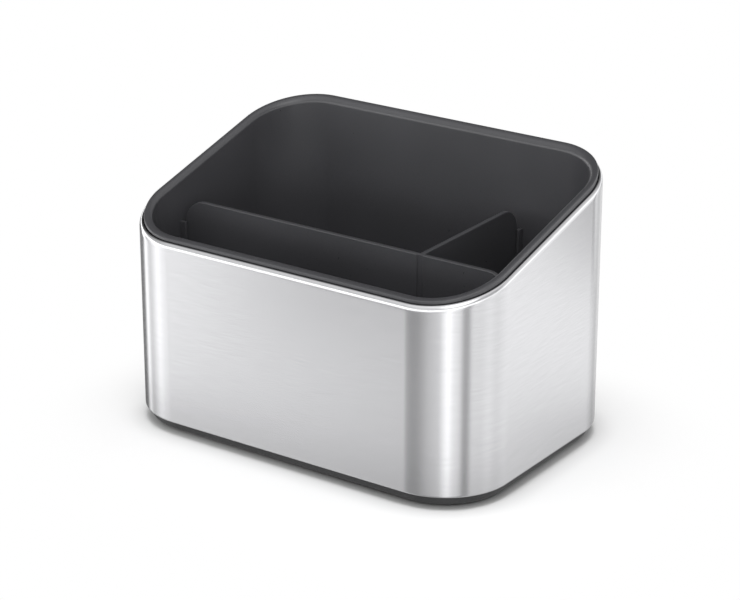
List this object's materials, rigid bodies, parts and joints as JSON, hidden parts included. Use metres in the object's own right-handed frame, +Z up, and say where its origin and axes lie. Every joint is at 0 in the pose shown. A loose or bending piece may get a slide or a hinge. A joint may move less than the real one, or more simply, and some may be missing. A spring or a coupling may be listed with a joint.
{
  "type": "kitchen sink caddy",
  "caption": "Kitchen sink caddy: brushed steel sleeve with a sloping mouth, and a lift-out dark liner with a T-shaped divider",
  "frame": {"origin": "under the middle of the caddy, on the plane that the feet stand on", "axes": "+Z up, +X to the right along the front, the front faces -Y"},
  "size_m": [0.175, 0.119, 0.1179],
  "materials": {
    "sleeve_steel": "fine horizontal brushing, satin",
    "base_plastic": "fine moulded grain, matt",
    "liner_plastic": "fine moulded grain, matt",
    "foot_rubber": "soft matt rubber"
  },
  "bodies": {
    "housing": {"outer_sleeve": "sleeve_steel", "base": "base_plastic", "foot_front_left": "foot_rubber", "foot_front_right": "foot_rubber", "foot_back_left": "foot_rubber", "foot_back_right": "foot_rubber"},
    "liner_body": {"liner": "liner_plastic"},
    "divider_body": {"divider": "liner_plastic"}
  },
  "joints": [
    {"name": "liner_lift", "type": "slide", "parent": "housing", "child": "liner_body", "axis": [0, 0, 1], "range_m": [0, 0.12]},
    {"name": "divider_lift", "type": "slide", "parent": "liner_body", "child": "divider_body", "axis": [0, 0, 1], "range_m": [0, 0.115]}
  ]
}
